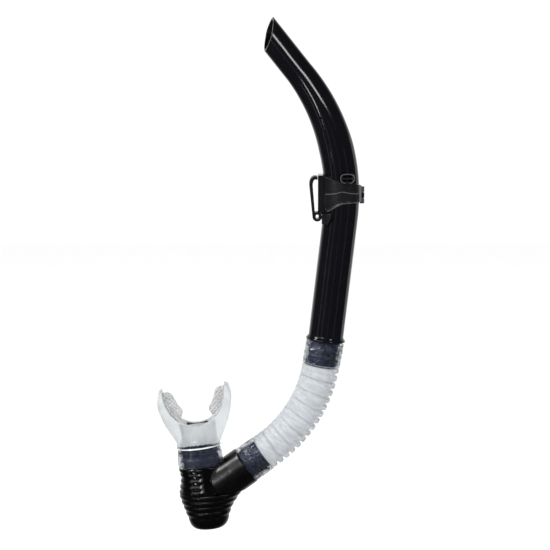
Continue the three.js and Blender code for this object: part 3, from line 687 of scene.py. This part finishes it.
# ---- hose
def rib_profile(radius, web, groove_half, pitch_half):
    """(distance from a groove's middle, radius) up one rib to its middle, all round the hose."""
    corner = 0.5
    foot = np.minimum(0.35, (radius - web) / 3)
    shoulder = np.minimum(corner, (radius - web) / 2)
    return [(0.0, web), (groove_half - foot, web), (groove_half - foot / 4, web + foot / 3),
            (groove_half, web + foot), (groove_half, radius - shoulder),
            (groove_half + corner / 6, radius - shoulder / 2.5),
            (groove_half + corner / 2, radius - shoulder / 9), (groove_half + corner, radius),
            (pitch_half, radius)]


def groove_radius():
    """Radius of the grooves' floors all round: a flat chord on the outer side, shallow elsewhere."""
    towards = np.maximum(np.cos(angles()), 0.1)
    return np.minimum(HOSE.chord / towards, HOSE.radius - HOSE.shallow)


def hose_loops(from_tilt, to_tilt):
    """Outside loops between the middles of two grooves, a whole number of ribs apart."""
    pitch = HOSE_STEP / 2  # two ribs to each hinged stretch
    narrowest = 0.42  # half the width of the narrowest groove
    local_bend = HOSE_BEND + HOSE.radius * np.cos(angles())
    half = local_bend * math.radians(pitch) / 2
    profile = rib_profile(HOSE.radius, groove_radius(), np.maximum(half - HOSE.rib / 2, narrowest), half)
    rows = [(np.degrees(distance / local_bend), radius) for distance, radius in profile]
    loops = []
    for number in range(round((to_tilt - from_tilt) / pitch)):
        start = from_tilt + number * pitch
        up = [hose_loop(start + tilt, radius) for tilt, radius in rows]
        down = [hose_loop(start + pitch - tilt, radius) for tilt, radius in rows[-2::-1]]
        loops += (up[1:] if number else up) + down
    return loops


def hose_loop(tilt, radius):
    """A loop whose tilt and radius may differ all round. It turns clockwise seen along the hose."""
    turn = angles()
    tilt = np.radians(np.broadcast_to(tilt, turn.shape))
    reach = HOSE_BEND + radius * np.cos(turn)
    across = np.stack([np.cos(tilt), np.zeros(SIDES), -np.sin(tilt)], -1)
    return HOSE_CENTRE + reach[:, None] * across + (radius * np.sin(turn))[:, None] * DEPTH


def cuff_profile(size, length):
    """(height, radius) outside a cuff, from its open end down to the groove beside the hose."""
    radius, hose, web = size.radius, HOSE.radius, groove_radius()
    top = length - size.top_gap
    return [(top - 0.05, radius - 0.6), (top, radius - 0.35), (top - 0.1, radius - 0.1), (top - 0.4, radius),
            (top - 1.6, radius)] + [
                (top - bead * length + step, radius + 0.4 * math.cos(math.pi * step))
                for bead in BEADS for step in (0.5, 0.3, 0.1, -0.1, -0.3, -0.5)] + [
            (top - 14, radius - 0.03), (6.3, radius),
            (5.6, radius - 0.15), (5.2, radius - 0.7), (4.95, radius - 1.1), (4.6, radius - 1.15),
            (4.3, hose - 0.9), (4.05, hose - 0.3), (3.6, hose), (1.9, hose), (1.45, hose - 0.15),
            (1.22, (hose + web) / 2), (1.1, web + 0.1), (0.5, web)]


def cuff_bore(size, length):
    """(height, radius) inside a cuff, from the hose's bore up to the open end."""
    top = length - size.top_gap
    bore = size.bore
    return [(5.2, HOSE.bore), (5.5, HOSE.bore + 0.5), (5.9, bore - 0.2), (6.3, bore),
            (top - 4, bore), (top - 0.5, bore), (top - 0.15, bore + 0.15), (top - 0.05, bore + 0.6)]


def facing(loops, flip):
    """Loops with their sides counted the other way round, so that faces keep pointing out."""
    return [loop[::-1] if flip else loop for loop in loops]


def hose_end(name, place, size, ribs, flip):
    """A cuff and the first ribs of the hose in one closed wall. ribs are loops going away from it."""
    def ring(z, radius):
        return oval(place, radius if flip else -radius, radius, z)

    outside = [ring(*row) for row in cuff_profile(size, size.length)] + ribs
    last = ribs[-1]
    middle = last.mean(0)
    reach = np.linalg.norm(last - middle, axis=1, keepdims=True)
    bore_end = middle + (last - middle) * HOSE.bore / reach
    inside = [bore_end] + [ring(*row) for row in [(0.5, HOSE.bore)] + cuff_bore(size, size.length)]
    made = tube(name, facing(outside, flip), facing(inside, flip), milky_silicone, clear_silicone)
    clear_from = 5.0  # height above which the cuff is clear
    paint(made, place.local(faces_of(made)[0])[:, 2] > clear_from)
    return made


def hose_stretch(name, from_tilt, to_tilt):
    """Two ribs either side of a joint, closed at both ends."""
    trim = 0.01  # degrees left open between two stretches, so that their ends don't coincide
    web = groove_radius()
    outside = [hose_loop(from_tilt + trim, web), *hose_loops(from_tilt, to_tilt)[1:-1],
               hose_loop(to_tilt - trim, web)]
    bore = np.full(SIDES, HOSE.bore)
    inside = [hose_loop(tilt, bore) for tilt in np.linspace(to_tilt - trim, from_tilt + trim, 6)]
    return tube(name, facing(outside, True), facing(inside, True), milky_silicone)


def build_hose():
    """Eight pieces, each from the middle of one hinged stretch to the middle of the next."""
    first, last = HOSE.from_tilt, HOSE.to_tilt
    margin = 1.5  # degrees past its joint that an end piece's low or high is set
    bottom_cuff = NECK_END.along(LOWER_CUFF.length).turned(180 - last)
    for number in range(1, HOSE_JOINTS + 1):
        middle = first + (number - 1) * HOSE_STEP
        low, high = middle - HOSE_STEP / 2, middle + HOSE_STEP / 2
        name = f"hose_stretch_{number}"
        if number == 1:
            obj = hose_end(name, HOSE_START, CUFF, hose_loops(middle, high), True)
            nodes = ["hose_upper_cuff"]
            low = first - margin
        elif number == HOSE_JOINTS:
            obj = hose_end(name, bottom_cuff, LOWER_CUFF, hose_loops(low, middle)[::-1], False)
            nodes = [f"hose_ring_{number - 1}", "hose_lower_cuff"]
            high = last + margin
        else:
            obj = hose_stretch(name, low, high)
            nodes = [f"hose_ring_{number - 1}"]
        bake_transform(obj)
        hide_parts(*nodes)


# ---- connectors
def barbed_connector(name, place, free_length, plug_length):
    """A hollow tube with three barbs towards its free end at +Z, and a plug at its other end."""
    radius, barb, bore = CONNECTOR.radius, CONNECTOR.barb, CONNECTOR.bore
    plug = CONNECTOR.plug_radius
    profile = [(-plug_length, plug - 0.4), (-plug_length + 0.4, plug), (-0.3, plug), (-0.2, radius)]
    for share, grip in CONNECTOR.barbs:
        crest = share * free_length
        start = crest - grip * free_length
        profile += [(start - 0.5, radius), (start - 0.1, barb - 0.2), (start, barb),
                    (crest - 0.25, barb), (crest - 0.05, barb - 0.15), (crest, radius + 0.1)]
    profile += [(free_length - 0.4, radius), (free_length - 0.1, radius - 0.15),
                (free_length, radius - 0.5)]
    inside = [(z, bore) for z in (free_length, 0.0, -plug_length)]
    return tube(name, ovals(place, rounds(profile)), ovals(place, rounds(inside)), navy_plastic)


# ---- chamber
# (height, half width, half depth)
CHAMBER_ROWS = ((-4, 20.4, 20.4), (5, 20.4, 20.4), (9, 19.4, 19), (15, 18, 17.2), (20, 17.9, 15.6),
                (CHAMBER.top, 18.6, 14.6))


def cap_row(z, inset):
    """(height, half width, half depth, centre) of the cap's oval, grown or shrunk by an inset."""
    heights = [CAP.top - k * CAP.rib_pitch for k in range(len(CAP.left))][::-1]
    left, right, depth = (np.interp(z, heights, side[::-1]) for side in (CAP.left, CAP.right, CAP.depth))
    return z, (right - left) / 2 - inset, depth - inset, (left + right) / 2


def chamber_body():
    place, inset, top = CHAMBER_PLACE, CHAMBER.inset, CHAMBER.top
    neck = NECK_END.along(-CHAMBER.neck_length)
    length, neck_radius = CHAMBER.neck_length, CHAMBER.neck_radius
    body = oval_post("chamber", place, CHAMBER_ROWS)
    rim = neck_radius - 0.1
    neck_profile = [(2, 18), (14, 18), (length - 12, neck_radius), (length - 1.6, neck_radius),
                    (length - 1.2, rim), (length, rim)]
    join(body, oval_post("neck", neck, rounds(neck_profile)))
    room = (MOUTH.half_width + 0.3, MOUTH.half_depth + 0.3)
    cut(body,
        block("below", (-60, -40, -60), (80, 40, CAP.top), CAP_PLACE),
        oval_post("cuff_room", place, [(top, *room), (top + 12, *room)]))
    skirt_inset, skirt_wall = CAP.wall + 0.4, 2.0
    skirt_bottom, skirt_top = -1.6, CAP.top + 0.5
    join(body, oval_post("skirt", CAP_PLACE, [cap_row(z, skirt_inset) for z in (skirt_bottom, skirt_top)]))
    air_rows = [(z, w - inset, d - inset) for z, w, d in CHAMBER_ROWS[1:]] + [(top + 1, 15, 11.2)]
    plug_bore = CONNECTOR.plug_radius + 0.3
    bore = oval_post("bore", neck, rounds([(4, 9), (length - 14, plug_bore), (length + 2, plug_bore)]))
    cut(bore, block("bore_floor", (20, -40, -40), (60, 40, 3.4), place))
    cut(body,
        oval_post("skirt_bore", CAP_PLACE, [cap_row(z, skirt_inset + skirt_wall)
                                            for z in (skirt_bottom - 1, skirt_top)]),
        oval_post("air", place, air_rows),
        oval_post("air_foot", place, [(0, 16, 15.6), (5.1, 17.1, 17.1)]),
        bore)
    moulded(body, 0.42, 9, chamber_black, post_black)
    centres, _ = faces_of(body)
    x, y, z = neck.local(centres).T
    neck_foot, reach = 12, 18.8  # the neck's own finish is on what lies past its foot, within its reach
    paint(body, (z < neck_foot) + (np.hypot(x, y) > reach))
    return grip_ribs(body)


def grip_ribs(body):
    """Soft ribs round the chamber's outer side, in step with the cap's and fading towards the neck."""
    points, normals = vertices_of(body)
    x, y, z = CHAMBER_PLACE.local(points).T
    outward = normals @ CHAMBER_PLACE.right
    around = np.hypot(x, y)
    side = smooth_step(-x / np.maximum(around, 1), -0.1, 0.75) * (outward < 0.2) * (around > 15.5)
    stretch = smooth_step(z, 3.5, 6) * (1 - smooth_step(z, 19, 22))
    wave = 0.5 - 0.5 * np.cos(2 * math.pi * (z - CAP.top) / CAP.rib_pitch)
    groove = 0.75
    depth = groove * (1 - wave) * side * stretch
    move_vertices(body, points - normals * depth[:, None])
    return body


def purge_cap():
    """A ribbed oval cup with a rounded base and drain holes."""
    top, base, pitch = CAP.top, CAP.base, CAP.rib_pitch
    last = top - (len(CAP.left) - 1) * pitch
    foot, flat = np.array(cap_row(last, 0)[1:]), np.array((9, 8.5, 1))  # ovals above and below the bowl
    rows = [(last - (last - base) * math.cos(turn), *(flat + (foot - flat) * math.sin(turn)))
            for turn in np.radians(np.linspace(0, 86, 22))]
    for z in np.linspace(last, top, 100):
        place_in_rib = ((top - z) / pitch) % 1
        rows.append(cap_row(z, -CAP.rib_rise * abs(math.sin(math.pi * place_in_rib)) ** CAP.rib_fullness))
    rows += [cap_row(z, CAP.wall) for z in np.linspace(top - 0.3, last, 8)]
    rows += [(base + 5, 13.2, 12.2, 1.7), (base + 2.2, 8, 7.5, 1)]
    cup = loft("purge_cup", ovals(CAP_PLACE, rows), ribbed_black)
    holes = []
    for turn in angles(CAP.holes):
        middle = Place(CAP_PLACE.world((1 + 6.2 * math.cos(turn), 5.8 * math.sin(turn), 0)), CAP.lean)
        holes.append(round_bar("hole", middle, CAP.hole_radius, base - 2, base + 4, 24))
    return cut(cup, *holes)


# ---- mouthpiece
WING_EDGE = ((17.2, 42), (17.8, 46), (19.6, 50), (22.4, 55.6), (25.2, 61), (27.6, 67.5), (29.3, 74),
             (29.7, 79), (29, 84), (27.9, 87.8), (26.6, 89))
TAB_EDGE = ((26, 64), (17, 62.6), (13.9, 63.4), (12, 66), (10.6, 69.4), (11, 71.6), (13.6, 75), (15.6, 79.6),
            (17.2, 83.8), (19.4, 86), (22.5, 86.8), (26, 86.4))
LIP_ARCH = Sizes(half_width=25.0, height=30.2, centre=88.0)


def wing(side):
    """Outline of one half of the lip flange and the funnel under it."""
    edge = smooth_curve(WING_EDGE)
    return np.vstack([[(0, 42)], edge * (side, 1), [(side * 24, 89), (0, 89)]])


def funnel_rows():
    """The cuff, its narrow waist under the band, and the funnel above."""
    bottom, width, depth = MOUTH.bottom, MOUTH.half_width, MOUTH.half_depth
    waist = (MOUTH.waist_width, MOUTH.waist_depth)
    return [(bottom, width, depth), (33, width - 0.1, depth - 0.1), (38.5, *waist), (43, *waist),
            (46, 17.7, 13.5), (50, 19.2, 13.2), (55.6, 21.8, 12.8), (61, 24.6, 12.5), (68, 26.4, 12.5)]


def flange_side_outline():
    """The flange seen from the side, in local Y and Z: rounded at its top."""
    turn = np.linspace(0, math.pi, 24)
    return [(-13.2, 30), (13.2, 30), (13.2, 52), (12.5, 62)] + [
        (12.5 * math.cos(a), 76 + 14.3 * math.sin(a)) for a in turn] + [(-12.5, 62), (-13.2, 52)]


def side_slab(name, place, outline, half):
    """An outline in local Y and Z, extruded along X."""
    levels = [[(x, y, z) for y, z in outline] for x in (-half, half)]
    return loft(name, place.world(np.array(levels)))


def build_mouthpiece():
    place, bottom = CHAMBER_PLACE, MOUTH.bottom
    body = oval_post("mouthpiece_skin", place, funnel_rows())
    wings = join(slab("wing", place, wing(1), -12.5, 12.5), slab("wing", place, wing(-1), -12.5, 12.5))
    keep(wings, side_slab("silhouette", place, flange_side_outline(), 40))
    turn = angles(160)
    arch = np.stack([LIP_ARCH.half_width * np.cos(turn),
                     LIP_ARCH.centre + LIP_ARCH.height * np.sin(turn)], -1)
    join(body, wings)
    cut(body, slab("arch", place, arch, -30, 30))
    inner, bore = (MOUTH.half_width - MOUTH.wall, MOUTH.half_depth - MOUTH.wall), MOUTH.bore_width
    socket_top = CHAMBER.top + 20.7
    socket = oval_post("socket", place, [
        (bottom - 1, *inner), (socket_top, *inner), (socket_top + 1.6, bore, MOUTH.bore_depth),
        (54, bore, 8.4), (60, bore + 0.6, 6.6), (75, bore + 1, 6.4)])
    cut(body, socket)
    half = MOUTH.tab_depth / 2
    tabs = [slab("tab", place, smooth_curve(TAB_EDGE, 4) * (side, 1), -half, half) for side in (-1, 1)]
    join(body, *tabs)
    moulded(body, 0.42, 5, mouth_silicone, clear_silicone, passage_shade, knurl_hollow_shade)
    paint_mouthpiece(body)
    knurl(body)
    points, _ = vertices_of(body)
    share = smooth_step(place.local(points)[:, 2], BAND.high, 48)
    move_vertices(body, points + MOUTH.shift * share[:, None] * place.right)
    return body


def paint_mouthpiece(body):
    """Clear where it grips the connector, milky above, with painted shade inside the air passage and in the
    knurl's hollows.
    """
    centres, normals = faces_of(body)
    x, y, z = CHAMBER_PLACE.local(centres).T
    # the stretch of the air passage's far wall that stands in shade
    far_wall = (normals @ DEPTH < -0.5) * (y > 5) * (y < 9) * (z > 57.1) * (x > -9) * (x < 8)
    clear = z < MOUTH.cuff_top + 2
    shallowest = -0.12  # hollows of the knurl deeper than this get painted shade
    hollows = knurl_height(centres, normals) < shallowest
    paint(body, np.select([far_wall, hollows], [2, 3], clear))


def knurl_height(points, normals):
    """Small bumps in rows over both faces of the bite tabs, where they are and how high."""
    x, y, z = CHAMBER_PLACE.local(points).T
    faces_out = smooth_step(np.abs(normals @ DEPTH), 0.75, 0.95)
    near_tab = (np.abs(y) < MOUTH.tab_depth / 2 + 0.6) * smooth_step(z, 63, 66)
    inner = 1 - smooth_step(np.abs(x) - np.interp(z, [62, 68, 76, 88], [20, 23.5, 25.3, 26]), -1.5, 0.5)
    pitch, height = 3.1, 0.5
    wave = 2 * math.pi / pitch
    return height * np.cos(wave * x) * np.cos(wave * z) * faces_out * near_tab * inner


def knurl(body):
    points, normals = vertices_of(body)
    move_vertices(body, points + normals * knurl_height(points, normals)[:, None])


def mouthpiece_connector():
    top = CHAMBER.top
    width = MOUTH.half_width - MOUTH.wall - 0.3
    depth = MOUTH.half_depth - MOUTH.wall - 0.3

    def row(z, inset):
        return z, width - inset, depth - inset

    valley = 0.9  # how far the stem lies below its ridges
    rows = [(top - 6, 14.2, 10.6), (top + 0.3, 14.2, 10.6), row(top + 0.4, valley)]
    for crest in (top + 6.2, top + 12.4):
        rows += [row(crest - 2.2, valley), row(crest - 0.8, 0.05), row(crest - 0.2, 0), row(crest, 0.3),
                 row(crest + 0.1, valley)]
    rows += [row(top + 19, valley), row(top + 20, 1.2), row(top + 20.4, 1.7)]
    inside = [(top + 20.4, 12.9, 9.2), (top - 6, 12.4, 8.8)]
    return tube("mouthpiece_stem", ovals(CHAMBER_PLACE, rows), ovals(CHAMBER_PLACE, inside), navy_plastic)


def mouthpiece_band():
    """A thin band whose section is rounded, drawn round the cuff."""
    low, high, grow, gap = BAND.low, BAND.high, BAND.grow, BAND.gap
    width, depth = MOUTH.waist_width, MOUTH.waist_depth
    middle, half = (low + high) / 2, (high - low) / 2
    outside = []
    for turn in np.linspace(-math.pi / 2, math.pi / 2, 13):
        rise = gap + (grow - gap) * math.cos(turn)
        outside.append(oval(CHAMBER_PLACE, width + rise, depth + rise, middle + half * math.sin(turn)))
    inside = [oval(CHAMBER_PLACE, width + gap - 0.05, depth + gap - 0.05, z) for z in (high - 0.3, low + 0.3)]
    return tube("mouthpiece_tie", outside, inside, band_silicone)


# ---- the snorkel
def fit(piece, body, node):
    """Puts a detailed piece in the place of a CAD node."""
    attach(piece, body)
    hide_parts(node)


fit(build_barrel(), "barrel", "barrel")
upper_spigot = barbed_connector("barrel_spigot", UPPER_CUFF.turned(180 + CUFF.lean),
                                CUFF.length - CONNECTOR.tip_gap, CONNECTOR.plug_length)
fit(upper_spigot, "barrel", "barrel_connector")
neck_spigot = barbed_connector("neck_spigot", NECK_END, LOWER_CUFF.length - CONNECTOR.tip_gap,
                               CONNECTOR.neck_plug_length)
fit(neck_spigot, "chamber", "neck_connector")
fit(keeper_clamp(), "keeper", "keeper_clamp")
fit(keeper_rear_band(), "keeper_band", "keeper_rear_band")
fit(keeper_gate(), "keeper_gate", "keeper_gate")
fit(keeper_tongue(), "keeper", "keeper_grip_tongue")
build_hose()
fit(chamber_body(), "chamber", "chamber_body")
fit(purge_cap(), "chamber", "purge_cap")
fit(build_mouthpiece(), "chamber", "mouthpiece")
fit(mouthpiece_connector(), "chamber", "mouthpiece_connector")
fit(mouthpiece_band(), "chamber", "mouthpiece_band")

for node, material in (("purge_seat", satin_black), ("purge_seal", valve_silicone),
                       ("purge_valve", valve_silicone), ("keeper_hinge_pin", steel)):
    shown = frame["nodes"][node]
    shown.data.materials.clear()
    shown.data.materials.append(material)


# ---- studio
def aim(obj, target):
    obj.rotation_euler = (Vector(target) - obj.location).to_track_quat("-Z", "Y").to_euler()


def soft_box(name, azimuth, elevation, distance, size, radiance, colour=(1, 1, 1)):
    """A rectangular light. Azimuth 0 is in front of the object and 90 to its right."""
    lamp = bpy.data.lights.new(name, "AREA")
    lamp.shape = "RECTANGLE"
    lamp.size, lamp.size_y = size
    lamp.energy = radiance * math.pi * size[0] * size[1]
    lamp.color = colour
    made = linked(name, lamp)
    a, e = math.radians(azimuth), math.radians(elevation)
    direction = Vector((math.sin(a) * math.cos(e), -math.cos(a) * math.cos(e), math.sin(e)))
    made.location = CENTRE + distance * direction
    aim(made, CENTRE)


def build_world():
    """A white backdrop. Reflections see it bright behind the object and dark in front of it."""
    world = bpy.data.worlds.new("studio")
    bpy.context.scene.world = world
    world.use_nodes = True
    nodes, links = world.node_tree.nodes, world.node_tree.links
    backdrop, fill, room = (add(nodes, "Background", Color=(1, 1, 1, 1), Strength=strength)
                            for strength in (1.05, 1.1, 1.0))
    where = add(nodes, "TexCoord")
    split = add(nodes, "SeparateXYZ")
    level = add(nodes, "MapRange", From_Min=0.3, From_Max=0.98, To_Min=0.03, To_Max=1.05)
    level.interpolation_type = "SMOOTHSTEP"
    links.new(where.outputs["Generated"], split.inputs["Vector"])
    links.new(split.outputs["Y"], level.inputs["Value"])
    links.new(level.outputs["Result"], room.inputs["Strength"])
    path = add(nodes, "LightPath")
    shade = room.outputs["Background"]
    for ray, light in (("Is Diffuse Ray", fill), ("Is Camera Ray", backdrop)):
        mix = add(nodes, "MixShader")
        links.new(path.outputs[ray], mix.inputs[0])
        links.new(shade, mix.inputs[1])
        links.new(light.outputs["Background"], mix.inputs[2])
        shade = mix.outputs["Shader"]
    links.new(shade, nodes["World Output"].inputs["Surface"])


def build_floor():
    size, drop = 6.0, 0.15
    bpy.ops.mesh.primitive_plane_add(size=size, location=(0, 0, cad_low.z - drop))
    floor = bpy.context.object
    floor.name = "floor"
    floor.data.materials.append(finish("pale_floor", (0.96, 0.96, 0.96), (0.6, 0.7), [(30, 0.2)], tint=0.01))
    floor.visible_glossy = False
    floor.visible_transmission = False


def build_camera():
    camera = linked("camera", bpy.data.cameras.new("camera"))
    camera.data.lens = CAMERA.lens
    camera.data.clip_end = 50
    elevation = math.radians(CAMERA.elevation)
    target = CAMERA.target
    camera.location = target + CAMERA.distance * Vector((0, -math.cos(elevation), math.sin(elevation)))
    aim(camera, target)
    bpy.context.scene.camera = camera


CENTRE = (cad_low + cad_high) / 2
build_camera()
build_world()
build_floor()
soft_box("crest_box", 42, 32, 1.4, (0.22, 0.36), 13)
soft_box("right_strip", 118, -4, 1.4, (0.3, 1.0), 0.8, (1.0, 1.0, 0.95))
soft_box("left_strip", -60, -6, 1.4, (0.05, 1.0), 1.5, (0.96, 0.95, 1.0))
soft_box("left_high", -75, 48, 1.4, (0.35, 0.35), 26)
soft_box("front_high", -42, 28, 1.5, (2.0, 0.5), 1.6)
soft_box("neck_glow", -21, 20, 1.5, (0.25, 0.3), 9)
soft_box("rib_glints", -41, -15, 1.4, (0.12, 0.16), 16)
soft_box("streak_left", -33, -8, 1.4, (0.2, 1.0), 0.32, (0.75, 0.82, 1.0))
soft_box("streak_middle", 4, -8, 1.4, (0.14, 1.0), 0.2, (0.7, 0.8, 1.0))
soft_box("streak_right", 48, -8, 1.4, (0.2, 1.0), 0.25, (0.7, 0.8, 1.0))
bpy.context.scene.view_settings.view_transform = "Standard"
